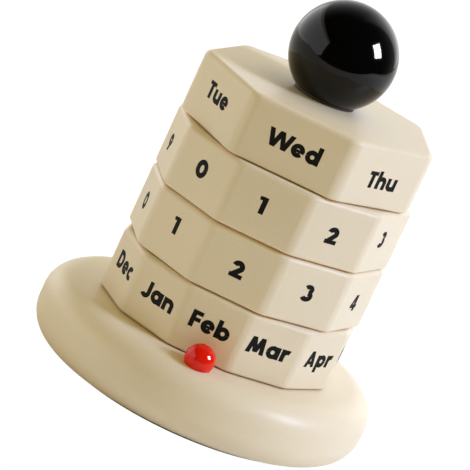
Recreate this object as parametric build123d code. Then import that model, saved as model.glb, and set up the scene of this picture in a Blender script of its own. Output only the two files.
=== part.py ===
from build123d import *
import os
from math import cos, radians, sqrt, tan

# Perpetual desk calendar. Four faceted wooden blocks turn on a steel spindle that stands in a
# round wooden base: months at the bottom, then the two digits of the date, then weekdays.
# A ball knob closes the stack, and a bead on the base marks the column that is read.
# Lengths are millimetres. Z runs up the spindle, the origin is the centre of the underside,
# and the front faces -Y.

# Faceted blocks, all cut from round blanks of one diameter
BLANK_DIAMETER = 70.0
BLOCK_THICKNESS = 17.7
MONTH_FACETS = 12
DIGIT_FACETS = 10
WEEKDAY_FACETS = 7
UPRIGHT_ROUND = 4.8
ARRIS_ROUND = 1.6
BORE_CHAMFER = 0.6

# Turned base: a flat top and foot joined by a rounded rim
BASE_LEDGE = 13.5           # from the blocks' blank to the rim
BASE_TOP_ROUND = 7.4
BASE_SIDE_BAND = 3.3
BASE_FOOT_ROUND = 8.0
SEAT_DEPTH = 5.0

# Felt pad under the base
PAD_THICKNESS = 1.0
PAD_MARGIN = 1.0

# Steel spindle, turned down to a threaded stud at each end
SPINDLE_DIAMETER = 8.0
STUD_DIAMETER = 6.0
STUD_CHAMFER = 0.8

# Thin fibre washers that keep the blocks apart
SPACER_WIDTH = 7.0
SPACER_THICKNESS = 0.25

# Nut, spring washer and flat washer in the counterbore under the base
NUT_WIDTH = 10.0
NUT_HEIGHT = 5.0
NUT_BEVEL = 30.0
WASHER_DIAMETER = 12.0
WASHER_THICKNESS = 1.6
LOCK_WASHER_DIAMETER = 11.6
LOCK_WASHER_THICKNESS = 1.6
LOCK_WASHER_SPLIT = 1.2
LOCK_WASHER_SLANT = 20.0
STUD_PROJECTION = 0.8

# Ball knob, cut flat at its foot, on a thin collar
BALL_DIAMETER = 30.0
BALL_FOOT_DIAMETER = 18.0
BALL_FOOT_ROUND = 0.3
COLLAR_INSET = 0.2
COLLAR_THICKNESS = 0.8

# Brass threaded insert in the ball
INSERT_DIAMETER = 9.0
INSERT_LENGTH = 12.0
INSERT_CHAMFER = 0.5
INSERT_RECESS = 0.3
INSERT_SPARE = 2.0          # thread left above the stud

# Bead in a round socket of the base, on a steel pin
BEAD_DIAMETER = 8.5
BEAD_SINK = 2.25
BEAD_ANGLE = 2.0            # it stands a little to the right of the front
PIN_DIAMETER = 1.5
PIN_IN_BEAD = 4.5
PIN_IN_BASE = 6.0
PIN_CHAMFER = 0.2

# Clearances, each on one side
BORE_CLEARANCE = 0.08       # spindle to turning block
SEAT_CLEARANCE = 0.03       # spindle to its seat in the base
THREAD_CLEARANCE = 0.05     # stud to the thread that it is in
HOLE_CLEARANCE = 0.2        # stud to a plain hole
GLUE_GAP = 0.05
TURNING_PLAY = 0.05         # upright play of a block
BEAD_CLEARANCE = 0.25       # bead to the circle that the blocks sweep
WRENCH_CLEARANCE = 2.0      # round the washer in the counterbore
STUD_TO_PAD = 0.6

# Levels from the pad's underside up to the ball
BASE_BOTTOM = PAD_THICKNESS
BASE_TOP = BASE_BOTTOM + BASE_FOOT_ROUND + BASE_SIDE_BAND + BASE_TOP_ROUND
SEAT_FLOOR = BASE_TOP - SEAT_DEPTH
STUD_BOTTOM = BASE_BOTTOM + STUD_TO_PAD
NUT_BOTTOM = STUD_BOTTOM + STUD_PROJECTION
LOCK_WASHER_BOTTOM = NUT_BOTTOM + NUT_HEIGHT
WASHER_BOTTOM = LOCK_WASHER_BOTTOM + LOCK_WASHER_THICKNESS
COUNTERBORE_ROOF = WASHER_BOTTOM + WASHER_THICKNESS
BLOCK_PITCH = SPACER_THICKNESS + TURNING_PLAY + BLOCK_THICKNESS
STACK_TOP = BASE_TOP + 4 * BLOCK_PITCH
COLLAR_BOTTOM = STACK_TOP + TURNING_PLAY
BALL_FOOT = COLLAR_BOTTOM + COLLAR_THICKNESS
INSERT_BOTTOM = BALL_FOOT + INSERT_RECESS
STUD_TOP = INSERT_BOTTOM + INSERT_LENGTH - INSERT_SPARE
BEAD_CENTRE = BASE_TOP + BEAD_DIAMETER / 2 - BEAD_SINK
BEAD_BOTTOM = BASE_TOP - BEAD_SINK

# Radii that more than one piece uses
BASE_RADIUS = BLANK_DIAMETER / 2 + BASE_LEDGE
SPINDLE_RADIUS = SPINDLE_DIAMETER / 2
STUD_RADIUS = STUD_DIAMETER / 2
INSERT_RADIUS = INSERT_DIAMETER / 2
BEAD_RADIUS = BEAD_DIAMETER / 2
PIN_RADIUS = PIN_DIAMETER / 2
BEAD_REACH = BLANK_DIAMETER / 2 + BEAD_CLEARANCE + BEAD_RADIUS


def spacer_level(storey):
    """Underside of the thin washer that carries the block on this storey, counted from 0."""
    return BASE_TOP + storey * BLOCK_PITCH


def block_level(storey):
    """Underside of the block on this storey."""
    return spacer_level(storey) + SPACER_THICKNESS + TURNING_PLAY


def cylinder(radius, bottom, top):
    """Upright cylinder on the spindle's axis between two levels."""
    return extrude(Pos(0, 0, bottom) * Circle(radius), top - bottom)


def washer(outer_radius, hole_radius, bottom, thickness):
    """Flat ring on the spindle's axis."""
    ring = Circle(outer_radius) - Circle(hole_radius)
    return extrude(Pos(0, 0, bottom) * ring, thickness)


def turned(section):
    """Piece turned on a lathe: a half section, drawn as radius and level, swung round Z."""
    return revolve(Plane.XZ * section, Axis.Z)


def at_bead(shape):
    """Carries a shape from the spindle's axis out to the bead's axis."""
    return Rot(0, 0, BEAD_ANGLE) * Pos(0, -BEAD_REACH, 0) * shape


def base():
    """Round base with a rounded rim, a stepped hole for the spindle and the bead's socket."""
    seat_radius = SPINDLE_RADIUS + SEAT_CLEARANCE
    hole_radius = STUD_RADIUS + HOLE_CLEARANCE
    counterbore_radius = WASHER_DIAMETER / 2 + WRENCH_CLEARANCE
    section = make_face(
        Polyline(
            (counterbore_radius, BASE_BOTTOM),
            (BASE_RADIUS, BASE_BOTTOM),
            (BASE_RADIUS, BASE_TOP),
            (seat_radius, BASE_TOP),
            (seat_radius, SEAT_FLOOR),
            (hole_radius, SEAT_FLOOR),
            (hole_radius, COUNTERBORE_ROOF),
            (counterbore_radius, COUNTERBORE_ROOF),
            close=True,
        )
    )
    rim_top = section.vertices().sort_by(Axis.X)[-2:].sort_by(Axis.Y)[-1]
    section = fillet(rim_top, BASE_TOP_ROUND)
    rim_foot = section.vertices().sort_by(Axis.X)[-2:].sort_by(Axis.Y)[0]
    section = fillet(rim_foot, BASE_FOOT_ROUND)
    socket = Pos(0, 0, BEAD_CENTRE) * Sphere(BEAD_RADIUS + GLUE_GAP)
    pin_hole = cylinder(PIN_RADIUS + GLUE_GAP, BEAD_BOTTOM - PIN_IN_BASE - GLUE_GAP, BEAD_CENTRE)
    return turned(section) - at_bead(socket + pin_hole)


def base_pad():
    """Felt disc on the flat of the base's underside."""
    return cylinder(BASE_RADIUS - BASE_FOOT_ROUND - PAD_MARGIN, 0, BASE_BOTTOM)


def spindle():
    """Shaft with a shoulder and a chamfered stud at each end."""
    tip_radius = STUD_RADIUS - STUD_CHAMFER
    section = Polyline(
        (0, STUD_BOTTOM),
        (tip_radius, STUD_BOTTOM),
        (STUD_RADIUS, STUD_BOTTOM + STUD_CHAMFER),
        (STUD_RADIUS, SEAT_FLOOR),
        (SPINDLE_RADIUS, SEAT_FLOOR),
        (SPINDLE_RADIUS, COLLAR_BOTTOM),
        (STUD_RADIUS, COLLAR_BOTTOM),
        (STUD_RADIUS, STUD_TOP - STUD_CHAMFER),
        (tip_radius, STUD_TOP),
        (0, STUD_TOP),
        close=True,
    )
    return turned(make_face(section))


def base_nut():
    """Hexagon nut with its corners bevelled at both faces."""
    flat_radius = NUT_WIDTH / 2
    corner_radius = flat_radius / cos(radians(30))
    bevel = (corner_radius - flat_radius) * tan(radians(NUT_BEVEL))
    hexagon = RegularPolygon(flat_radius, 6, major_radius=False)
    hexagon -= Circle(STUD_RADIUS + THREAD_CLEARANCE)
    barrel = Polyline(
        (0, NUT_BOTTOM),
        (flat_radius, NUT_BOTTOM),
        (corner_radius, NUT_BOTTOM + bevel),
        (corner_radius, LOCK_WASHER_BOTTOM - bevel),
        (flat_radius, LOCK_WASHER_BOTTOM),
        (0, LOCK_WASHER_BOTTOM),
        close=True,
    )
    return extrude(Pos(0, 0, NUT_BOTTOM) * hexagon, NUT_HEIGHT) & turned(make_face(barrel))


def lock_washer():
    """Spring washer, pressed flat, with its slanted split."""
    radius = LOCK_WASHER_DIAMETER / 2
    ring = washer(
        radius, STUD_RADIUS + HOLE_CLEARANCE, LOCK_WASHER_BOTTOM, LOCK_WASHER_THICKNESS
    )
    blade = Box(radius, LOCK_WASHER_SPLIT, 3 * LOCK_WASHER_THICKNESS, align=(Align.MIN,) * 3)
    middle = LOCK_WASHER_BOTTOM + LOCK_WASHER_THICKNESS / 2
    return ring - Pos(0, 0, middle) * Rot(LOCK_WASHER_SLANT, 0, 0) * blade


def base_washer():
    """Flat washer between the nut and the roof of the counterbore."""
    hole_radius = STUD_RADIUS + HOLE_CLEARANCE
    return washer(WASHER_DIAMETER / 2, hole_radius, WASHER_BOTTOM, WASHER_THICKNESS)


def spacer(storey):
    """Thin fibre washer that a block turns on."""
    hole_radius = SPINDLE_RADIUS + BORE_CLEARANCE
    level = spacer_level(storey)
    return washer(hole_radius + SPACER_WIDTH, hole_radius, level, SPACER_THICKNESS)


def block(facets, storey):
    """Faceted block with one facet to the front, soft uprights and rims, and a plain bore."""
    blank = RegularPolygon(BLANK_DIAMETER / 2, facets, rotation=180 / facets - 90)
    outline = fillet(blank.vertices(), UPRIGHT_ROUND)
    solid = extrude(Pos(0, 0, block_level(storey)) * outline, BLOCK_THICKNESS)
    rims = solid.faces().filter_by(Axis.Z).edges()
    solid = fillet(rims, ARRIS_ROUND)
    bore_radius = SPINDLE_RADIUS + BORE_CLEARANCE
    bottom = block_level(storey)
    solid -= cylinder(bore_radius, bottom, bottom + BLOCK_THICKNESS)
    mouths = solid.edges().filter_by(GeomType.CIRCLE).filter_by(
        lambda edge: abs(edge.radius - bore_radius) < BORE_CLEARANCE
    )
    return chamfer(mouths, BORE_CHAMFER)


def ball_collar():
    """Thin washer on the spindle's upper shoulder, just inside the ball's foot."""
    outer_radius = BALL_FOOT_DIAMETER / 2 - COLLAR_INSET
    return washer(outer_radius, STUD_RADIUS + HOLE_CLEARANCE, COLLAR_BOTTOM, COLLAR_THICKNESS)


def ball_insert():
    """Threaded bush in the ball's foot."""
    top = INSERT_BOTTOM + INSERT_LENGTH
    bush = cylinder(INSERT_RADIUS, INSERT_BOTTOM, top)
    bush = chamfer(bush.edges().filter_by(GeomType.CIRCLE), INSERT_CHAMFER)
    return bush - cylinder(STUD_RADIUS + THREAD_CLEARANCE, INSERT_BOTTOM, top)


def ball_knob():
    """Ball with a flat foot and a blind hole for its insert."""
    radius = BALL_DIAMETER / 2
    centre = BALL_FOOT + sqrt(radius**2 - (BALL_FOOT_DIAMETER / 2) ** 2)
    ball = split(Pos(0, 0, centre) * Sphere(radius), Plane.XY.offset(BALL_FOOT), keep=Keep.TOP)
    foot_rim = ball.faces().sort_by(Axis.Z)[0].edges()
    ball = fillet(foot_rim, BALL_FOOT_ROUND)
    hole_top = INSERT_BOTTOM + INSERT_LENGTH + GLUE_GAP
    return ball - cylinder(INSERT_RADIUS + GLUE_GAP, BALL_FOOT, hole_top)


def marker_bead():
    """Round bead with a blind hole for its pin."""
    bead = Pos(0, 0, BEAD_CENTRE) * Sphere(BEAD_RADIUS)
    hole_top = BEAD_BOTTOM + PIN_IN_BEAD + GLUE_GAP
    return at_bead(bead - cylinder(PIN_RADIUS + GLUE_GAP, BEAD_BOTTOM, hole_top))


def marker_pin():
    """Pin that stands in the base and holds the bead."""
    pin = cylinder(PIN_RADIUS, BEAD_BOTTOM - PIN_IN_BASE, BEAD_BOTTOM + PIN_IN_BEAD)
    return at_bead(chamfer(pin.edges().filter_by(GeomType.CIRCLE), PIN_CHAMFER))


pieces = {
    "base": base(),
    "base_pad": base_pad(),
    "spindle": spindle(),
    "base_nut": base_nut(),
    "lock_washer": lock_washer(),
    "base_washer": base_washer(),
    "base_spacer": spacer(0),
    "month_block": block(MONTH_FACETS, 0),
    "month_spacer": spacer(1),
    "units_block": block(DIGIT_FACETS, 1),
    "units_spacer": spacer(2),
    "tens_block": block(DIGIT_FACETS, 2),
    "tens_spacer": spacer(3),
    "weekday_block": block(WEEKDAY_FACETS, 3),
    "ball_collar": ball_collar(),
    "ball_insert": ball_insert(),
    "ball_knob": ball_knob(),
    "marker_bead": marker_bead(),
    "marker_pin": marker_pin(),
}

os.makedirs("parts", exist_ok=True)
for node, piece in pieces.items():
    export_step(piece, f"parts/{node}.step")
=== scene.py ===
"""A perpetual desk calendar: four faceted wooden blocks that turn on a steel spindle.

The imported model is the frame. Every piece is in metres, with Z up the spindle, the origin at the
centre of the underside, and the front facing -Y.
"""
from math import cos, pi, radians, sin, tan

import bmesh
import bpy
from mathutils import Matrix, Vector
from mathutils.geometry import delaunay_2d_cdt


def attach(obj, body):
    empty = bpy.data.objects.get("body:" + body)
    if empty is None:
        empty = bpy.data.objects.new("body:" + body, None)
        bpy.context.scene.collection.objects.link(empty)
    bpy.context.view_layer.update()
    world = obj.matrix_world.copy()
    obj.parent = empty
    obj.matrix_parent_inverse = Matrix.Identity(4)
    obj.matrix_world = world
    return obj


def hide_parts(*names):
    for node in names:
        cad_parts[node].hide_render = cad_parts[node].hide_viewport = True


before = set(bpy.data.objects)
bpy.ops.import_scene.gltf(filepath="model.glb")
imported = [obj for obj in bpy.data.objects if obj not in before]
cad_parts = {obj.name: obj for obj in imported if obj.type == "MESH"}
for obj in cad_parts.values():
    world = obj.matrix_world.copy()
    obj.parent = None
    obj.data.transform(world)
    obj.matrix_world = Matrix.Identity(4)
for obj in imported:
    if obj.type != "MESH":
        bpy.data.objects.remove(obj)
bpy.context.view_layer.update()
bpy.ops.object.select_all(action="DESELECT")


# ---- The base ----
# A disc of close-grained wood, turned on a lathe with a bullnose rim, and sprayed with satin ivory
# lacquer. Underneath is a counterbore for the spindle's nut, and in the top a seat for the spindle
# and a round socket for the bead.
MM = 0.001
BASE_RADIUS = 48.5 * MM
BASE_BOTTOM = 1.0 * MM
BASE_TOP = 19.7 * MM
RIM_ROUND = 7.4 * MM
FOOT_ROUND = 8.0 * MM
SEAT_RADIUS = 4.03 * MM
SEAT_FLOOR = 14.7 * MM
SCREW_HOLE_RADIUS = 3.2 * MM
COUNTERBORE_RADIUS = 8.0 * MM
COUNTERBORE_ROOF = 10.6 * MM
LATHE_STEPS = 256


def take(piece):
    """Makes a piece the only one selected, and the active one."""
    bpy.ops.object.select_all(action="DESELECT")
    piece.select_set(True)
    bpy.context.view_layer.objects.active = piece
    return piece


def fresh(name):
    """Names the primitive that was just added, and moves its place into its mesh."""
    piece = take(bpy.context.object)
    piece.name = piece.data.name = name
    bpy.ops.object.transform_apply(location=True, rotation=True, scale=True)
    return piece


def shape(piece):
    """Opens a piece in edit mode."""
    take(piece)
    bpy.ops.object.mode_set(mode="EDIT")


def shaped():
    """Closes edit mode."""
    bpy.ops.object.mode_set(mode="OBJECT")


def pick(kind, test):
    """Selects only those faces, edges or vertices of the open piece that pass the test."""
    bpy.ops.mesh.select_mode(type=kind)
    bpy.ops.mesh.select_all(action="DESELECT")
    data = bpy.context.object.data
    mesh = bmesh.from_edit_mesh(data)
    for part in {"FACE": mesh.faces, "EDGE": mesh.edges, "VERT": mesh.verts}[kind]:
        part.select_set(test(part))
    mesh.select_flush_mode()
    bmesh.update_edit_mesh(data)


def near(a, b, slack=0.02 * MM):
    """Whether two lengths are the same, but for rounding."""
    return abs(a - b) < slack


def ring_at(level, radius=None):
    """A test for edges that lie at one level, and at one distance from the spindle if given."""

    def test(edge):
        ends = [v.co for v in edge.verts]
        return all(
            near(co.z, level) and (radius is None or near(co.xy.length, radius)) for co in ends
        )

    return test


def flat_at(level, reach=1.0):
    """A test for level faces at one height, all of whose corners are within reach of the axis."""

    def test(face):
        return abs(face.normal.z) > 0.99 and all(
            near(v.co.z, level) and v.co.xy.length < reach for v in face.verts
        )

    return test


def cut_away(piece, cutter):
    """Takes a cutter's shape out of a piece, and throws the cutter away."""
    take(piece)
    bpy.ops.object.modifier_add(type="BOOLEAN")
    modifier = piece.modifiers[-1]
    modifier.operation = "DIFFERENCE"
    modifier.solver = "EXACT"
    modifier.object = cutter
    bpy.ops.object.modifier_apply(modifier=modifier.name)
    bpy.data.meshes.remove(cutter.data)


def rub_down(piece, crease=35):
    """Shades a piece smooth up to its true corners, with its flats kept flat."""
    take(piece)
    bpy.ops.object.shade_smooth_by_angle(angle=radians(crease))
    bpy.ops.object.modifier_add(type="WEIGHTED_NORMAL")
    modifier = piece.modifiers[-1]
    modifier.keep_sharp = True
    bpy.ops.object.modifier_apply(modifier=modifier.name)


bpy.ops.mesh.primitive_cylinder_add(
    vertices=LATHE_STEPS,
    radius=BASE_RADIUS,
    depth=BASE_TOP - BASE_BOTTOM,
    location=(0, 0, (BASE_TOP + BASE_BOTTOM) / 2),
)
base = fresh("turned_base")
shape(base)
pick("EDGE", ring_at(BASE_TOP))
bpy.ops.mesh.bevel(offset=RIM_ROUND, segments=18, profile=0.5, clamp_overlap=False)
pick("EDGE", ring_at(BASE_BOTTOM))
bpy.ops.mesh.bevel(offset=FOOT_ROUND, segments=18, profile=0.5, clamp_overlap=False)
pick("FACE", flat_at(BASE_TOP))
bpy.ops.mesh.inset(thickness=BASE_RADIUS - RIM_ROUND - SEAT_RADIUS)
bpy.ops.mesh.extrude_region_move(
    TRANSFORM_OT_translate={"value": (0, 0, SEAT_FLOOR - BASE_TOP)}
)
bpy.ops.mesh.inset(thickness=SEAT_RADIUS - SCREW_HOLE_RADIUS)
pick("FACE", flat_at(BASE_BOTTOM))
bpy.ops.mesh.inset(thickness=BASE_RADIUS - FOOT_ROUND - COUNTERBORE_RADIUS)
bpy.ops.mesh.extrude_region_move(
    TRANSFORM_OT_translate={"value": (0, 0, COUNTERBORE_ROOF - BASE_BOTTOM)}
)
bpy.ops.mesh.inset(thickness=COUNTERBORE_RADIUS - SCREW_HOLE_RADIUS)
hole_ends = [
    flat_at(SEAT_FLOOR, SCREW_HOLE_RADIUS + 0.01 * MM),
    flat_at(COUNTERBORE_ROOF, SCREW_HOLE_RADIUS + 0.01 * MM),
]
pick("FACE", lambda face: any(end(face) for end in hole_ends))
bpy.ops.mesh.bridge_edge_loops()
shaped()

# The socket is bored with a round-nosed cutter, and a thin drill below it makes room for the pin.
BEAD_RADIUS = 4.25 * MM
BEAD_CENTRE = Vector((1.379, -39.476, 21.7)) * MM
GLUE_GAP = 0.05 * MM
PIN_RADIUS = 0.75 * MM
PIN_FOOT = 11.45 * MM


def ball_at_bead(name, radius):
    """A ball round the bead's centre."""
    bpy.ops.mesh.primitive_uv_sphere_add(
        segments=96, ring_count=48, radius=radius, location=BEAD_CENTRE
    )
    return fresh(name)


def drill_for_pin(name, top):
    """A drill that reaches from the pin's foot up to a level."""
    bpy.ops.mesh.primitive_cylinder_add(
        vertices=32,
        radius=PIN_RADIUS + GLUE_GAP,
        depth=top - PIN_FOOT,
        location=(*BEAD_CENTRE.xy, (top + PIN_FOOT) / 2),
    )
    return fresh(name)


cut_away(base, ball_at_bead("socket_cutter", BEAD_RADIUS + GLUE_GAP))
cut_away(base, drill_for_pin("pin_drill", BEAD_CENTRE.z))
rub_down(base)


def finish(name, **values):
    """A new material with plain values on its shader's sockets."""
    material = bpy.data.materials.new(name)
    material.use_nodes = True
    shader = material.node_tree.nodes["Principled BSDF"]
    for socket, value in values.items():
        shader.inputs[socket.replace("_", " ")].default_value = value
    return material


def node(tree, kind, **settings):
    """Adds a node. A setting that isn't one of its properties is the value or link of an input.

    Inputs go by name, with _ for a space, or by number, such as i0.
    """
    made = tree.nodes.new(kind)
    for key, value in settings.items():
        if key in made.bl_rna.properties:
            setattr(made, key, value)
    for key, value in settings.items():
        if key in made.bl_rna.properties:
            continue
        where = int(key[1:]) if key[1:].isdigit() else key.replace("_", " ")
        if isinstance(value, bpy.types.NodeSocket):
            tree.links.new(value, made.inputs[where])
        else:
            made.inputs[where].default_value = value
    return made


def effect(name, inputs, outputs):
    """A node group with named sockets: its tree, its inputs' node and its outputs' node."""
    tree = bpy.data.node_groups.new(name, "ShaderNodeTree")
    for label, kind, value in inputs:
        socket = tree.interface.new_socket(label, in_out="INPUT", socket_type=kind)
        socket.default_value = value
    for label, kind in outputs:
        tree.interface.new_socket(label, in_out="OUTPUT", socket_type=kind)
    return tree, tree.nodes.new("NodeGroupInput"), tree.nodes.new("NodeGroupOutput")


# A sprayed coat is never quite even: it has a fine orange peel, a slow drift in tone from one
# side to the other, and dust nibs that were rubbed down and show as faint flecks.
FLOAT, COLOUR = "NodeSocketFloat", "NodeSocketColor"
sprayed_coat, given, made = effect(
    "sprayed_coat",
    [
        ("Colour", COLOUR, (0.8, 0.8, 0.8, 1)),
        ("Drift", FLOAT, 0.05),
        ("Fleck", FLOAT, 0.1),
        ("Peel", FLOAT, 1.0),
    ],
    [("Colour", COLOUR), ("Height", FLOAT), ("Rubbed", FLOAT)],
)
spot = node(sprayed_coat, "ShaderNodeTexCoord").outputs["Object"]
slow = node(sprayed_coat, "ShaderNodeTexNoise", Vector=spot, Scale=38.0, Detail=2.0)
peel = node(sprayed_coat, "ShaderNodeTexNoise", Vector=spot, Scale=900.0, Detail=2.0)
nibs = node(sprayed_coat, "ShaderNodeTexNoise", Vector=spot, Scale=2600.0, Detail=1.0)
nib = node(
    sprayed_coat, "ShaderNodeMapRange", Value=nibs.outputs["Fac"], From_Min=0.64, From_Max=0.74
)
drifted = node(
    sprayed_coat, "ShaderNodeMapRange", Value=slow.outputs["Fac"], From_Min=0.3, From_Max=0.7,
    To_Min=-0.5, To_Max=0.5,
)
drift = node(
    sprayed_coat, "ShaderNodeMath", operation="MULTIPLY_ADD", i0=drifted.outputs[0],
    i1=given.outputs["Drift"], i2=1.0,
)
flecked = node(
    sprayed_coat, "ShaderNodeMath", operation="MULTIPLY", i0=nib.outputs[0],
    i1=given.outputs["Fleck"],
)
kept = node(sprayed_coat, "ShaderNodeMath", operation="SUBTRACT", i0=1.0, i1=flecked.outputs[0])
tone = node(
    sprayed_coat, "ShaderNodeMath", operation="MULTIPLY", i0=drift.outputs[0], i1=kept.outputs[0]
)
toned = node(
    sprayed_coat, "ShaderNodeVectorMath", operation="SCALE", i0=given.outputs["Colour"],
    Scale=tone.outputs[0],
)
raised = node(
    sprayed_coat, "ShaderNodeMath", operation="MULTIPLY", i0=peel.outputs["Fac"],
    i1=given.outputs["Peel"],
)
sprayed_coat.links.new(toned.outputs[0], made.inputs["Colour"])
sprayed_coat.links.new(raised.outputs[0], made.inputs["Height"])
sprayed_coat.links.new(slow.outputs["Fac"], made.inputs["Rubbed"])


def sprayed(material, colour, drift, fleck, peel, peel_height, dull, shiny):
    """Lays the sprayed coat on a material, between a dull and a shiny roughness."""
    tree = material.node_tree
    shader = tree.nodes["Principled BSDF"]
    coat = node(
        tree, "ShaderNodeGroup", node_tree=sprayed_coat, Colour=colour, Drift=drift, Fleck=fleck,
        Peel=peel,
    )
    worn = node(
        tree, "ShaderNodeMapRange", Value=coat.outputs["Rubbed"], From_Min=0.3, From_Max=0.7,
        To_Min=shiny, To_Max=dull,
    )
    bump = node(
        tree, "ShaderNodeBump", Height=coat.outputs["Height"], Strength=1.0, Distance=peel_height
    )
    tree.links.new(coat.outputs["Colour"], shader.inputs["Base Color"])
    tree.links.new(worn.outputs[0], shader.inputs["Roughness"])
    tree.links.new(bump.outputs[0], shader.inputs["Normal"])
    return material


IVORY = (0.81, 0.72, 0.56, 1)
# A saturated amber that paints the warm glow of bounced light in the gaps between the blocks.
PAINTED_GAP_GLOW = (0.80, 0.50, 0.23, 1)
ivory_lacquer = sprayed(
    finish("ivory_lacquer", IOR=1.5, Coat_Weight=0.12, Coat_Roughness=0.15),
    IVORY, drift=0.03, fleck=0.08, peel=1.0, peel_height=0.012 * MM, dull=0.52, shiny=0.42,
)

# The undersides of the blocks and their bores get a saturated amber in place of the ivory. It is a
# painted warm glow, standing in for light that bounces to and fro in the narrow gaps between the
# blocks. A piece marks those faces with an attribute.
tree = ivory_lacquer.node_tree
shader = tree.nodes["Principled BSDF"]
gap_glow_mask = node(tree, "ShaderNodeAttribute", attribute_name="painted_gap_glow_faces")
with_gap_glow = node(
    tree, "ShaderNodeMix", data_type="RGBA", Factor=gap_glow_mask.outputs["Fac"],
    i6=shader.inputs["Base Color"].links[0].from_socket, i7=PAINTED_GAP_GLOW,
)
tree.links.new(with_gap_glow.outputs[2], shader.inputs["Base Color"])


def finished(piece, material, body, replaced):
    """Paints a piece and hangs it on the frame, in place of its CAD node."""
    piece.data.materials.clear()
    piece.data.materials.append(material)
    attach(piece, body)
    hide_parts(replaced)


finished(base, ivory_lacquer, "stand", "base")


# ---- The felt pad ----
# A disc of dark grey wool felt, punched out and glued to the flat of the base's underside. The
# CAD node has the right shape, so it stays and only gets its fibres.
felt = finish("grey_felt", Roughness=0.95, Sheen_Weight=0.4, Sheen_Roughness=0.6)
tree = felt.node_tree
spot = node(tree, "ShaderNodeTexCoord").outputs["Object"]
fibres = node(
    tree, "ShaderNodeTexNoise", Vector=spot, Scale=1400.0, Detail=6.0, Roughness=0.7,
    Distortion=1.5,
)
wool = node(
    tree, "ShaderNodeMix", data_type="RGBA", Factor=fibres.outputs["Fac"],
    i6=(0.035, 0.035, 0.037, 1), i7=(0.16, 0.155, 0.15, 1),
)
nap = node(
    tree, "ShaderNodeBump", Height=fibres.outputs["Fac"], Strength=1.0, Distance=0.12 * MM
)
shader = tree.nodes["Principled BSDF"]
tree.links.new(wool.outputs[2], shader.inputs["Base Color"])
tree.links.new(nap.outputs[0], shader.inputs["Normal"])


def repaint(nodes, material):
    """Gives CAD nodes that stay as they are a better material."""
    for name in nodes:
        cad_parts[name].data.materials.clear()
        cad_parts[name].data.materials.append(material)


repaint(["base_pad"], felt)


# ---- The spindle and what holds it ----
# A turned steel shaft with a stud at each end, with the nut and washers that draw it down into the
# base, all bright zinc plated, and a brass insert for the ball. All of it is inside the wood, and
# stays as the CAD made it.
turning_marks, given, made = effect(
    "turning_marks",
    [("Pitch", FLOAT, 4000.0), ("Colour", COLOUR, (0.6, 0.6, 0.6, 1))],
    [("Colour", COLOUR), ("Height", FLOAT), ("Roughness", FLOAT)],
)
spot = node(turning_marks, "ShaderNodeTexCoord").outputs["Object"]
rings = node(
    turning_marks, "ShaderNodeTexWave", wave_type="BANDS", bands_direction="Z", Vector=spot,
    Scale=given.outputs["Pitch"], Distortion=1.2, Detail=2.0,
)
stain = node(turning_marks, "ShaderNodeTexNoise", Vector=spot, Scale=260.0, Detail=4.0)
shade = node(
    turning_marks, "ShaderNodeMapRange", Value=stain.outputs["Fac"], To_Min=0.75, To_Max=1.1
)
toned = node(
    turning_marks, "ShaderNodeVectorMath", operation="SCALE", i0=given.outputs["Colour"],
    Scale=shade.outputs[0],
)
dulled = node(
    turning_marks, "ShaderNodeMapRange", Value=stain.outputs["Fac"], To_Min=0.18, To_Max=0.5
)
turning_marks.links.new(toned.outputs[0], made.inputs["Colour"])
turning_marks.links.new(rings.outputs["Fac"], made.inputs["Height"])
turning_marks.links.new(dulled.outputs[0], made.inputs["Roughness"])


def turned_metal(name, colour, pitch):
    """Bright metal with fine turning marks round the axis."""
    material = finish(name, Metallic=1.0)
    tree = material.node_tree
    marks = node(tree, "ShaderNodeGroup", node_tree=turning_marks, Pitch=pitch, Colour=colour)
    bump = node(
        tree, "ShaderNodeBump", Height=marks.outputs["Height"], Strength=0.4, Distance=0.01 * MM
    )
    shader = tree.nodes["Principled BSDF"]
    tree.links.new(marks.outputs["Colour"], shader.inputs["Base Color"])
    tree.links.new(marks.outputs["Roughness"], shader.inputs["Roughness"])
    tree.links.new(bump.outputs[0], shader.inputs["Normal"])
    return material


steel = turned_metal("zinc_plated_steel", (0.62, 0.63, 0.65, 1), 3500.0)
brass = turned_metal("turned_brass", (0.80, 0.58, 0.27, 1), 2500.0)
repaint(["spindle", "base_nut", "lock_washer", "base_washer", "marker_pin"], steel)
repaint(["ball_insert"], brass)


# ---- The thin washers under the blocks ----
# Red-brown vulcanised fibre, stamped from sheet, a quarter of a millimetre thick. They keep the
# lacquered blocks from rubbing on each other and stay on the spindle when a block is turned.
fibre = finish("vulcanised_fibre", Roughness=0.6)
tree = fibre.node_tree
spot = node(tree, "ShaderNodeTexCoord").outputs["Object"]
pulp = node(tree, "ShaderNodeTexNoise", Vector=spot, Scale=700.0, Detail=5.0, Roughness=0.65)
mottled = node(
    tree, "ShaderNodeMix", data_type="RGBA", Factor=pulp.outputs["Fac"],
    i6=(0.16, 0.07, 0.035, 1), i7=(0.32, 0.17, 0.09, 1),
)
tree.links.new(mottled.outputs[2], tree.nodes["Principled BSDF"].inputs["Base Color"])
repaint(["base_spacer", "month_spacer", "units_spacer", "tens_spacer"], fibre)


# ---- The four blocks ----
# Each is sawn from a round blank of one diameter into a prism of 12, 10, 10 or 7 facets, sanded
# round at its uprights and rims, bored for the spindle, and sprayed with the ivory lacquer.
# Each turns on its own; one facet faces the front at rest.
BLANK_RADIUS = 35.0 * MM
BLOCK_THICKNESS = 17.7 * MM
UPRIGHT_ROUND = 4.8 * MM
TOP_ARRIS = 1.6 * MM
BOTTOM_ARRIS = 0.8 * MM
BORE_RADIUS = 4.08 * MM
BORE_CHAMFER = 0.6 * MM
STOREYS = {
    "month": (12, 20.0 * MM),
    "units": (10, 38.0 * MM),
    "tens": (10, 56.0 * MM),
    "weekday": (7, 74.0 * MM),
}


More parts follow.
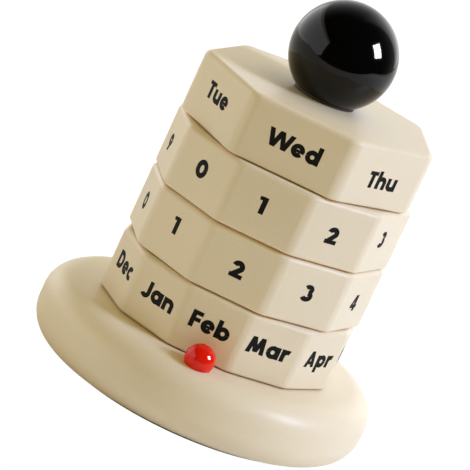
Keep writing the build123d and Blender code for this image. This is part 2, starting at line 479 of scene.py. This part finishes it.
def faceted_block(name, facets, bottom):
    """Makes a block with one facet square to the front."""
    top = bottom + BLOCK_THICKNESS
    middle = (bottom + top) / 2
    bpy.ops.mesh.primitive_cylinder_add(
        vertices=facets,
        radius=BLANK_RADIUS,
        depth=BLOCK_THICKNESS,
        location=(0, 0, middle),
        rotation=(0, 0, 0 if facets % 2 else pi / facets),
    )
    block = fresh(f"{name}_wood")
    shape(block)
    pick("EDGE", lambda edge: abs(edge.verts[0].co.z - edge.verts[1].co.z) > BLOCK_THICKNESS / 2)
    bpy.ops.mesh.bevel(offset=UPRIGHT_ROUND * tan(pi / facets), segments=12, profile=0.5)
    for level, arris in ((top, TOP_ARRIS), (bottom, BOTTOM_ARRIS)):
        pick("EDGE", ring_at(level))
        bpy.ops.mesh.bevel(offset=arris, segments=8, profile=0.5, clamp_overlap=False)
    shaped()
    bpy.ops.mesh.primitive_cylinder_add(
        vertices=96, radius=BORE_RADIUS, depth=2 * BLOCK_THICKNESS, location=(0, 0, middle)
    )
    cut_away(block, fresh("bore_drill"))
    shape(block)
    pick("EDGE", lambda edge: any(ring_at(end, BORE_RADIUS)(edge) for end in (bottom, top)))
    bpy.ops.mesh.bevel(offset=BORE_CHAMFER, segments=1)
    shaped()
    rub_down(block)
    # The underside and the bore are marked for the amber of the painted warm glow in the gaps.
    gap_glow_marks = block.data.attributes.new("painted_gap_glow_faces", "FLOAT", "FACE")
    for face in block.data.polygons:
        in_bore = face.center.xy.length < BORE_RADIUS
        gap_glow_marks.data[face.index].value = near(face.center.z, bottom) or in_bore
    finished(block, ivory_lacquer, f"{name}_ring", f"{name}_block")


for name, (facets, bottom) in STOREYS.items():
    faceted_block(name, facets, bottom)


# ---- The legends on the facets ----
# Weekdays, digits and months in heavy round letters, screen printed in black ink that lies about a
# hundredth of a millimetre proud of the lacquer. They are plain dial markings.
CAPITAL = 4.8 * MM
INK_PROUD = 0.012 * MM
INK_SUNK = 0.02 * MM

# The letters are drawn stroke by stroke on a grid where a capital is 1 high.
STROKE = 0.275
BOLD = 0.30
LETTER_GAP = 0.10


def bow(cx, cy, rx, ry, start, end):
    """Points along an arc, from one angle to the other, in degrees."""
    steps = max(3, round(abs(end - start) / 7.5))
    turns = [radians(start + (end - start) * i / steps) for i in range(steps + 1)]
    return [(round(cx + rx * cos(turn), 4), round(cy + ry * sin(turn), 4)) for turn in turns]


def run(*points, width=STROKE):
    """A stroke of even width along a run of points, with square ends, as an outline."""
    line = [Vector(point) for point in dict.fromkeys(points)]
    left, right = [], []
    for i, point in enumerate(line):
        before = (point - line[i - 1]).normalized() if i else None
        after = (line[i + 1] - point).normalized() if i + 1 < len(line) else None
        along = ((before or after) + (after or before)).normalized()
        across = along.orthogonal()
        lean = across.dot((before or after).orthogonal())
        left.append(point + across * width / 2 / lean)
        right.append(point - across * width / 2 / lean)
    return right + left[::-1]


def slant(x0, y0, x1, y1, width=STROKE):
    """A straight stroke whose two ends are cut level."""
    start, end = sorted((Vector((x0, y0)), Vector((x1, y1))), key=lambda point: point.y)
    half = Vector((width / 2 * (end - start).length / abs(y1 - y0), 0))
    return [start - half, start + half, end + half, end - half]


def ring(cx, cy, rx, ry, width=STROKE):
    """A closed round stroke, drawn as two bows."""
    halves = ((0, 180), (180, 360))
    return [run(*bow(cx, cy, rx, ry, start, end), width=width) for start, end in halves]


STEM = run((0.125, 0), (0.125, 1))
TALL_STEM = run((0.125, 0), (0.125, 1.08))
SHORT_STEM = run((0.125, 0), (0.125, 0.75))
ARCH = run((0.635, 0), (0.635, 0.42), *bow(0.385, 0.42, 0.25, 0.205, 0, 165))
BOWL = ring(0.385, 0.375, 0.26, 0.26)
BOWL_ON_STEM = ring(0.435, 0.375, 0.26, 0.26)

# Each letter's width, and its strokes
GLYPHS = {
    "A": (0.90, [
        slant(0.13, 0, 0.45, 1),
        slant(0.77, 0, 0.45, 1),
        run((0.2, 0.27), (0.7, 0.27), width=0.2),
    ]),
    "D": (0.82, [
        STEM,
        run(
            (0.1, 0.88), (0.36, 0.88), *bow(0.36, 0.5, 0.335, 0.38, 85, -85), (0.36, 0.12),
            (0.1, 0.12),
        ),
    ]),
    "F": (0.62, [
        STEM,
        run((0, 0.88), (0.62, 0.88), width=0.25),
        run((0, 0.49), (0.58, 0.49), width=0.24),
    ]),
    "J": (0.58, [run((0.455, 1), (0.455, 0.32), *bow(0.235, 0.32, 0.22, 0.215, 0, -150))]),
    "M": (1.16, [
        slant(0.14, 0, 0.30, 1),
        slant(0.58, 0.1, 0.30, 1),
        slant(0.58, 0.1, 0.86, 1),
        slant(1.02, 0, 0.86, 1),
    ]),
    "N": (0.92, [STEM, run((0.795, 0), (0.795, 1)), slant(0.15, 1, 0.77, 0)]),
    "O": (1.04, ring(0.52, 0.5, 0.395, 0.395)),
    "S": (0.66, [
        run(*bow(0.325, 0.69, 0.2, 0.19, 25, 270), *bow(0.325, 0.31, 0.21, 0.19, 80, -155)),
    ]),
    "T": (0.68, [run((0, 0.885), (0.68, 0.885), width=0.23), run((0.34, 0), (0.34, 1))]),
    "W": (1.52, [
        slant(0.13, 1, 0.43, 0),
        slant(0.76, 1, 0.43, 0),
        slant(0.76, 1, 1.09, 0),
        slant(1.39, 1, 1.09, 0),
    ]),
    "a": (0.82, [*BOWL, run((0.7, 0), (0.7, 0.75))]),
    "b": (0.82, [*BOWL_ON_STEM, TALL_STEM]),
    "c": (0.66, [run(*bow(0.385, 0.375, 0.26, 0.26, 48, 312))]),
    "d": (0.82, [*BOWL, run((0.7, 0), (0.7, 1.08))]),
    "e": (0.76, [
        run(*bow(0.38, 0.375, 0.26, 0.26, 0, 322)),
        run((0.15, 0.36), (0.75, 0.36), width=0.17),
    ]),
    "g": (0.82, [*BOWL, run((0.7, 0.75), (0.7, -0.04), *bow(0.42, -0.04, 0.28, 0.2, 0, -155))]),
    "h": (0.76, [TALL_STEM, ARCH]),
    "i": (0.27, [run((0.135, 0), (0.135, 0.75)), bow(0.135, 0.95, 0.15, 0.15, 0, 352.5)]),
    "l": (0.25, [TALL_STEM]),
    "n": (0.76, [SHORT_STEM, ARCH]),
    "o": (0.78, ring(0.39, 0.375, 0.265, 0.265)),
    "p": (0.82, [*BOWL_ON_STEM, run((0.125, -0.33), (0.125, 0.75))]),
    "r": (0.52, [SHORT_STEM, run(*bow(0.40, 0.375, 0.27, 0.25, 165, 68))]),
    "t": (0.50, [run((0.24, 0), (0.24, 0.98)), run((0, 0.65), (0.5, 0.65), width=0.2)]),
    "u": (0.76, [
        run((0.635, 0), (0.635, 0.75)),
        run((0.125, 0.75), (0.125, 0.33), *bow(0.375, 0.33, 0.25, 0.205, 180, 345)),
    ]),
    "v": (0.80, [slant(0.13, 0.75, 0.4, 0), slant(0.67, 0.75, 0.4, 0)]),
    "y": (0.80, [slant(0.13, 0.75, 0.42, 0), slant(0.67, 0.75, 0.29, -0.33)]),
    "0": (0.84, ring(0.42, 0.5, 0.29, 0.39, width=BOLD)),
    "1": (0.48, [run((0.33, 0), (0.33, 1), width=BOLD), run((0, 0.86), (0.3, 0.9), width=0.22)]),
    "2": (0.80, [
        run(*bow(0.38, 0.655, 0.225, 0.21, 172, -25), (0.2, 0.14), width=BOLD),
        run((0.01, 0.125), (0.79, 0.125), width=0.25),
    ]),
    "3": (0.80, [
        run(*bow(0.365, 0.71, 0.21, 0.165, 150, -80), width=0.27),
        run(*bow(0.375, 0.32, 0.255, 0.19, 80, -155), width=0.29),
    ]),
    "4": (0.84, [
        slant(0.13, 0.3, 0.48, 1, width=0.22),
        run((0.02, 0.3), (0.84, 0.3), width=0.22),
        run((0.57, 0), (0.57, 1), width=BOLD),
    ]),
    "5": (0.78, [
        run((0.14, 0.875), (0.7, 0.875), width=0.25),
        slant(0.16, 0.45, 0.24, 1, width=0.24),
        run(*bow(0.36, 0.335, 0.255, 0.205, 135, -150), width=BOLD),
    ]),
    "6": (0.82, [
        *ring(0.41, 0.35, 0.27, 0.22, width=BOLD), slant(0.22, 0.42, 0.52, 1, width=BOLD),
    ]),
    "7": (0.76, [
        run((0.02, 0.875), (0.74, 0.875), width=0.25), slant(0.24, 0, 0.57, 0.9, width=BOLD),
    ]),
    "8": (0.82, [
        *ring(0.41, 0.72, 0.205, 0.165, width=0.24), *ring(0.41, 0.315, 0.265, 0.2, width=0.26),
    ]),
    "9": (0.82, [
        *ring(0.41, 0.65, 0.27, 0.22, width=BOLD), slant(0.3, 0, 0.6, 0.58, width=BOLD),
    ]),
}
KERNS = {"We": -0.12, "Tu": -0.03, "Th": -0.03, "Fe": -0.03, "Ap": 0.04}
HULL_TRIANGLES = 0          # the triangulation fills the whole hull, between the strokes too
WELD = 1e-7                 # points nearer than this are one


def word_outlines(word):
    """The outlines of a word's strokes, side by side, centred across and in height."""
    outlines, x = [], 0.0
    for i, letter in enumerate(word):
        width, strokes = GLYPHS[letter]
        outlines += [[Vector((px + x, py)) for px, py in stroke] for stroke in strokes]
        x += width + LETTER_GAP + KERNS.get(word[i : i + 2], 0.0)
    middle = Vector(((x - LETTER_GAP) / 2, 0.5))
    return [[(point - middle) * CAPITAL for point in outline] for outline in outlines]


def printed(name, word, apothem, across, height, turn):
    """A word in ink on the facet at this turn, with its overlapping strokes made one."""
    points, loops = [], []
    for outline in word_outlines(word):
        loops.append(list(range(len(points), len(points) + len(outline))))
        points += outline
    flat, _, faces, _, _, owners = delaunay_2d_cdt(points, [], loops, HULL_TRIANGLES, WELD)
    faces = [face for face, strokes in zip(faces, owners) if strokes]
    mesh = bpy.data.meshes.new(name)
    mesh.from_pydata(
        [(co.x + across, INK_SUNK - apothem, co.y + height) for co in flat], [], faces
    )
    word_piece = bpy.data.objects.new(name, mesh)
    bpy.context.collection.objects.link(word_piece)
    shape(word_piece)
    bpy.ops.mesh.select_all(action="SELECT")
    bpy.ops.mesh.delete_loose()
    bpy.ops.mesh.select_all(action="SELECT")
    bpy.ops.mesh.dissolve_limited(angle_limit=radians(0.5))
    bpy.ops.mesh.extrude_region_move(
        TRANSFORM_OT_translate={"value": (0, -INK_SUNK - INK_PROUD, 0)}
    )
    bpy.ops.mesh.select_all(action="SELECT")
    bpy.ops.mesh.normals_make_consistent(inside=False)
    shaped()
    mesh.transform(Matrix.Rotation(turn, 4, "Z"))
    return word_piece


ink = finish("printing_ink", Roughness=0.65, Specular_IOR_Level=0.2)
tree = ink.node_tree
spot = node(tree, "ShaderNodeTexCoord").outputs["Object"]
mesh_marks = node(tree, "ShaderNodeTexNoise", Vector=spot, Scale=2200.0, Detail=3.0)
thin = node(
    tree, "ShaderNodeMix", data_type="RGBA", Factor=mesh_marks.outputs["Fac"],
    i6=(0.002, 0.002, 0.002, 1), i7=(0.008, 0.007, 0.006, 1),
)
grain = node(
    tree, "ShaderNodeBump", Height=mesh_marks.outputs["Fac"], Strength=0.5, Distance=0.01 * MM
)
shader = tree.nodes["Principled BSDF"]
tree.links.new(thin.outputs[2], shader.inputs["Base Color"])
tree.links.new(grain.outputs[0], shader.inputs["Normal"])

# Each row starts with the legend that faces the front, and goes on to the viewer's right. The
# screen was set by hand for each facet, so every legend is a little off centre. The numbers are
# millimetres, across and up.
ROWS = {
    "month": [
        ("Feb", -0.1, 0.75), ("Mar", -0.53, 0.76), ("Apr", 0.38, 0.67), ("May", 0.2, 0.5),
        ("Jun", -0.3, 0.7), ("Jul", 0.1, 0.4), ("Aug", -0.2, 0.8), ("Sep", 0.3, 0.6),
        ("Oct", -0.1, 0.9), ("Nov", 0.2, 0.5), ("Dec", 1.3, 1.4), ("Jan", 0.87, 0.75),
    ],
    "units": [
        ("2", 0.19, -0.2), ("3", -0.14, 0.6), ("4", -1.1, -0.31), ("5", 0.1, 0.3),
        ("6", -0.2, 0.1), ("7", 0.3, -0.2), ("8", 0.0, 0.4), ("9", -0.3, 0.2),
        ("0", 0.2, 0.26), ("1", -0.76, 1.65),
    ],
    "tens": [
        ("1", -1.14, 0.4), ("2", -0.8, -0.28), ("3", -2.3, 1.13), ("4", -0.2, 0.3),
        ("5", 0.2, 0.0), ("6", -0.1, 0.4), ("7", 0.3, 0.2), ("8", -0.2, -0.1),
        ("9", -1.6, -0.6), ("0", -0.53, 0.69),
    ],
    "weekday": [
        ("Wed", -0.04, 0.02), ("Thu", -0.22, -0.84), ("Fri", 0.1, 0.2), ("Sat", -0.2, -0.3),
        ("Sun", 0.2, 0.4), ("Mon", -0.1, 0.1), ("Tue", -0.04, 1.01),
    ],
}
for name, row in ROWS.items():
    facets, bottom = STOREYS[name]
    words = [
        printed(
            f"{name}_{word}", word, BLANK_RADIUS * cos(pi / facets), across * MM,
            bottom + BLOCK_THICKNESS / 2 + up * MM, 2 * pi * place / facets,
        )
        for place, (word, across, up) in enumerate(row)
    ]
    take(words[0])
    for word_piece in words[1:]:
        word_piece.select_set(True)
    bpy.ops.object.join()
    legends = fresh(f"{name}_legends")
    legends.data.materials.append(ink)
    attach(legends, f"{name}_ring")


# ---- The ball knob on its collar ----
# A wooden ball, cut flat at its foot, sprayed black and polished to a mirror gloss. Its brass
# insert screws down on the spindle's stud, on to a thin dark collar a little smaller than the
# foot. The collar's near-black brown is partly its own colour and partly painted shadow under the
# foot.
BALL_RADIUS = 15.0 * MM
BALL_CENTRE = 104.55 * MM
BALL_FOOT = 92.55 * MM
BALL_FOOT_RADIUS = 9.0 * MM
FOOT_EDGE = 0.3 * MM
INSERT_HOLE_RADIUS = 4.55 * MM
INSERT_HOLE_TOP = 104.9 * MM
bpy.ops.mesh.primitive_uv_sphere_add(
    segments=160, ring_count=80, radius=BALL_RADIUS, location=(0, 0, BALL_CENTRE)
)
ball = fresh("polished_ball")
shape(ball)
bpy.ops.mesh.select_all(action="SELECT")
bpy.ops.mesh.bisect(
    plane_co=(0, 0, BALL_FOOT), plane_no=(0, 0, 1), use_fill=True, clear_inner=True
)
pick("EDGE", ring_at(BALL_FOOT))
bpy.ops.mesh.bevel(offset=FOOT_EDGE, segments=4, profile=0.5)
pick("FACE", flat_at(BALL_FOOT))
bpy.ops.mesh.inset(thickness=BALL_FOOT_RADIUS - FOOT_EDGE - INSERT_HOLE_RADIUS)
bpy.ops.mesh.extrude_region_move(
    TRANSFORM_OT_translate={"value": (0, 0, INSERT_HOLE_TOP - BALL_FOOT)}
)
bpy.ops.mesh.select_all(action="SELECT")
bpy.ops.mesh.normals_make_consistent(inside=False)
shaped()
rub_down(ball)
black_gloss = sprayed(
    finish("black_gloss", IOR=1.35),
    (0.002, 0.002, 0.002, 1), drift=0.3, fleck=0.0, peel=0.5, peel_height=0.0015 * MM,
    dull=0.09, shiny=0.05,
)
finished(ball, black_gloss, "stand", "ball_knob")

COLLAR_RADIUS = 8.8 * MM
COLLAR_BOTTOM = 91.75 * MM
COLLAR_EDGE = 0.15 * MM
bpy.ops.mesh.primitive_cylinder_add(
    vertices=128, radius=COLLAR_RADIUS, depth=BALL_FOOT - COLLAR_BOTTOM,
    location=(0, 0, (BALL_FOOT + COLLAR_BOTTOM) / 2),
)
collar = fresh("dark_collar")
shape(collar)
pick("EDGE", lambda edge: ring_at(BALL_FOOT)(edge) or ring_at(COLLAR_BOTTOM)(edge))
bpy.ops.mesh.bevel(offset=COLLAR_EDGE, segments=3, profile=0.5)
pick("FACE", lambda face: flat_at(BALL_FOOT)(face) or flat_at(COLLAR_BOTTOM)(face))
bpy.ops.mesh.inset(thickness=COLLAR_RADIUS - COLLAR_EDGE - SCREW_HOLE_RADIUS)
bpy.ops.mesh.bridge_edge_loops()
shaped()
rub_down(collar)
# Near-black brown: the collar's own dark colour, which also paints the shadow in the gap under the
# ball's foot.
collar_and_painted_shadow = sprayed(
    finish("dark_collar", IOR=1.45), (0.045, 0.028, 0.016, 1), drift=0.3, fleck=0.1, peel=1.0,
    peel_height=0.01 * MM, dull=0.6, shiny=0.45,
)
finished(collar, collar_and_painted_shadow, "stand", "ball_collar")


# ---- The marker bead ----
# A small wooden bead, sprayed glossy red, that sits in its socket on a steel pin and marks the
# column of facets that is read.
PIN_HOLE_TOP = 21.95 * MM
bead = ball_at_bead("red_bead", BEAD_RADIUS)
cut_away(bead, drill_for_pin("bead_drill", PIN_HOLE_TOP))
rub_down(bead)
red_gloss = sprayed(
    finish("red_gloss", IOR=1.38),
    (0.80, 0.014, 0.005, 1), drift=0.08, fleck=0.0, peel=0.5, peel_height=0.0015 * MM,
    dull=0.08, shiny=0.04,
)
finished(bead, red_gloss, "stand", "marker_bead")


# ---- The table, the lights and the camera ----
# A plain pale table in soft studio light: a cool softbox high on the right, a broad panel low on
# the left, weak lamps behind and overhead, and a warm light from all round that fills the shade.
TABLE_FRONT, TABLE_BACK, TABLE_SIDE = -0.3, 2.0, 1.6
TABLE_COLOUR = (0.9, 0.9, 0.9, 1)
TABLE_GLOW = 1.1
GLOW_SHARE = 0.9
bpy.ops.mesh.primitive_plane_add(size=1.0, location=(0, (TABLE_FRONT + TABLE_BACK) / 2, 0))
bpy.ops.transform.resize(value=(2 * TABLE_SIDE, TABLE_BACK - TABLE_FRONT, 1))
floor = fresh("table")
pale = bpy.data.materials.new("pale_table")
pale.use_nodes = True
tree = pale.node_tree
tree.nodes.clear()
paper = node(tree, "ShaderNodeBsdfDiffuse", Color=TABLE_COLOUR)
bright = node(tree, "ShaderNodeEmission", Color=(1, 1, 1, 1), Strength=TABLE_GLOW)
camera_ray = node(tree, "ShaderNodeLightPath").outputs["Is Camera Ray"]
share = node(tree, "ShaderNodeMath", operation="MULTIPLY", i0=camera_ray, i1=GLOW_SHARE)
blend = node(
    tree, "ShaderNodeMixShader", Fac=share.outputs[0], i1=paper.outputs[0], i2=bright.outputs[0]
)
node(tree, "ShaderNodeOutputMaterial", Surface=blend.outputs[0])
floor.data.materials.append(pale)


LAMPS_AIM = Vector((0, 0, 70)) * MM


def lamp(
    name, azimuth, elevation, distance, width, height, power, colour=(1, 1, 1), seen=True,
    lights=True,
):
    """A flat softbox that faces the calendar. Azimuth 0 is the front, 90 the viewer's right.

    It is seen in reflections, and lights dull surfaces, unless these are switched off.
    """
    turn, lift = radians(azimuth), radians(elevation)
    towards = Vector((sin(turn) * cos(lift), -cos(turn) * cos(lift), sin(lift)))
    data = bpy.data.lights.new(name, "AREA")
    data.shape, data.size, data.size_y = "RECTANGLE", width, height
    data.energy, data.color = power, colour
    made = bpy.data.objects.new(name, data)
    made.location = LAMPS_AIM + towards * distance
    made.rotation_euler = towards.to_track_quat("Z", "Y").to_euler()
    made.visible_glossy = seen
    made.visible_diffuse = lights
    bpy.context.collection.objects.link(made)
    return made


lamp("key", 82, 34, 1.2, 0.345, 0.465, 12.8, (0.627, 0.717, 1.0))
lamp("panel", -95, 8, 1.0, 3.0, 0.9, 8.2, (0.781, 0.808, 1.0))
lamp("panel_shine", -95, 10, 0.99, 3.0, 1.0, 6.5, (1.0, 0.95, 0.78), lights=False)

# The bright glint of the key light is kept to the polished ball and bead.
glint = lamp("key_shine", 82, 34, 1.19, 0.345, 0.465, 30, lights=False)
polished = bpy.data.collections.new("polished")
polished.objects.link(ball)
polished.objects.link(bead)
glint.light_linking.receiver_collection = polished
lamp("backdrop", 180, 12, 1.3, 2.4, 1.0, 16.0, (0.82, 0.9, 1.0), seen=False)
lamp("overhead", 125, 65, 1.5, 1.0, 1.0, 4.7, (0.921, 0.936, 1.0), seen=False)

# The camera sees white all round. Dull surfaces get the warm fill, and glossy ones reflect a soft
# backdrop behind the table, which grows brighter to the right, up to its edge.
FILL = (0.340, 0.247, 0.000, 1)
WHITE, BLACK = (1, 1, 1, 1), (0, 0, 0, 1)
world = bpy.data.worlds.new("studio")
bpy.context.scene.world = world
world.use_nodes = True
tree = world.node_tree
ray = node(tree, "ShaderNodeLightPath")
view_way = node(tree, "ShaderNodeTexCoord").outputs["Generated"]
parts = node(tree, "ShaderNodeSeparateXYZ", Vector=view_way)
facing = node(tree, "ShaderNodeMath", operation="POWER", i0=parts.outputs["Y"], i1=2.0)
sideways = node(
    tree, "ShaderNodeMath", operation="DIVIDE", i0=parts.outputs["X"], i1=parts.outputs["Y"]
)
sweep = node(
    tree, "ShaderNodeMapRange", interpolation_type="SMOOTHSTEP", Value=sideways.outputs[0],
    From_Min=0.0, From_Max=0.5, To_Min=1.2, To_Max=2.1,
)
edge = node(
    tree, "ShaderNodeMapRange", interpolation_type="SMOOTHSTEP", Value=sideways.outputs[0],
    From_Min=0.75, From_Max=0.95, To_Min=1.0, To_Max=0.25,
)
ahead = node(tree, "ShaderNodeMath", operation="GREATER_THAN", i0=parts.outputs["Y"], i1=0.0)
backdrop = facing
for mask in (sweep, edge, ahead):
    backdrop = node(
        tree, "ShaderNodeMath", operation="MULTIPLY", i0=backdrop.outputs[0], i1=mask.outputs[0]
    )
sky = BLACK
for kind, light in (
    ("Is Glossy Ray", backdrop.outputs[0]), ("Is Diffuse Ray", FILL), ("Is Camera Ray", WHITE),
):
    sky = node(
        tree, "ShaderNodeMix", data_type="RGBA", Factor=ray.outputs[kind], i6=sky, i7=light
    ).outputs[2]
tree.links.new(sky, tree.nodes["Background"].inputs["Color"])

# The photograph is tilted, so the camera is rolled.
CAMERA_AZIMUTH, CAMERA_ELEVATION, CAMERA_ROLL = radians(3.46), radians(14.13), radians(24.74)
CAMERA_AIM = Vector((-6.31, 0, 46.43)) * MM
CAMERA_DISTANCE = 955.5 * MM
LENS_LENGTH, SENSOR_WIDTH = 267.45, 36.0
back = Vector((
    sin(CAMERA_AZIMUTH) * cos(CAMERA_ELEVATION),
    -cos(CAMERA_AZIMUTH) * cos(CAMERA_ELEVATION),
    sin(CAMERA_ELEVATION),
))
level_right = (-back).cross(Vector((0, 0, 1))).normalized()
level_up = level_right.cross(-back)
right = level_right * cos(CAMERA_ROLL) + level_up * sin(CAMERA_ROLL)
up = -level_right * sin(CAMERA_ROLL) + level_up * cos(CAMERA_ROLL)
lens = bpy.data.cameras.new("camera")
lens.lens, lens.sensor_width = LENS_LENGTH, SENSOR_WIDTH
camera = bpy.data.objects.new("camera", lens)
bpy.context.collection.objects.link(camera)
camera.matrix_world = Matrix.Translation(CAMERA_AIM + back * CAMERA_DISTANCE) @ (
    Matrix((right, up, back)).transposed().to_4x4()
)
bpy.context.scene.camera = camera
bpy.context.scene.view_settings.view_transform = "Standard"
bpy.context.scene.cycles.diffuse_bounces = 12
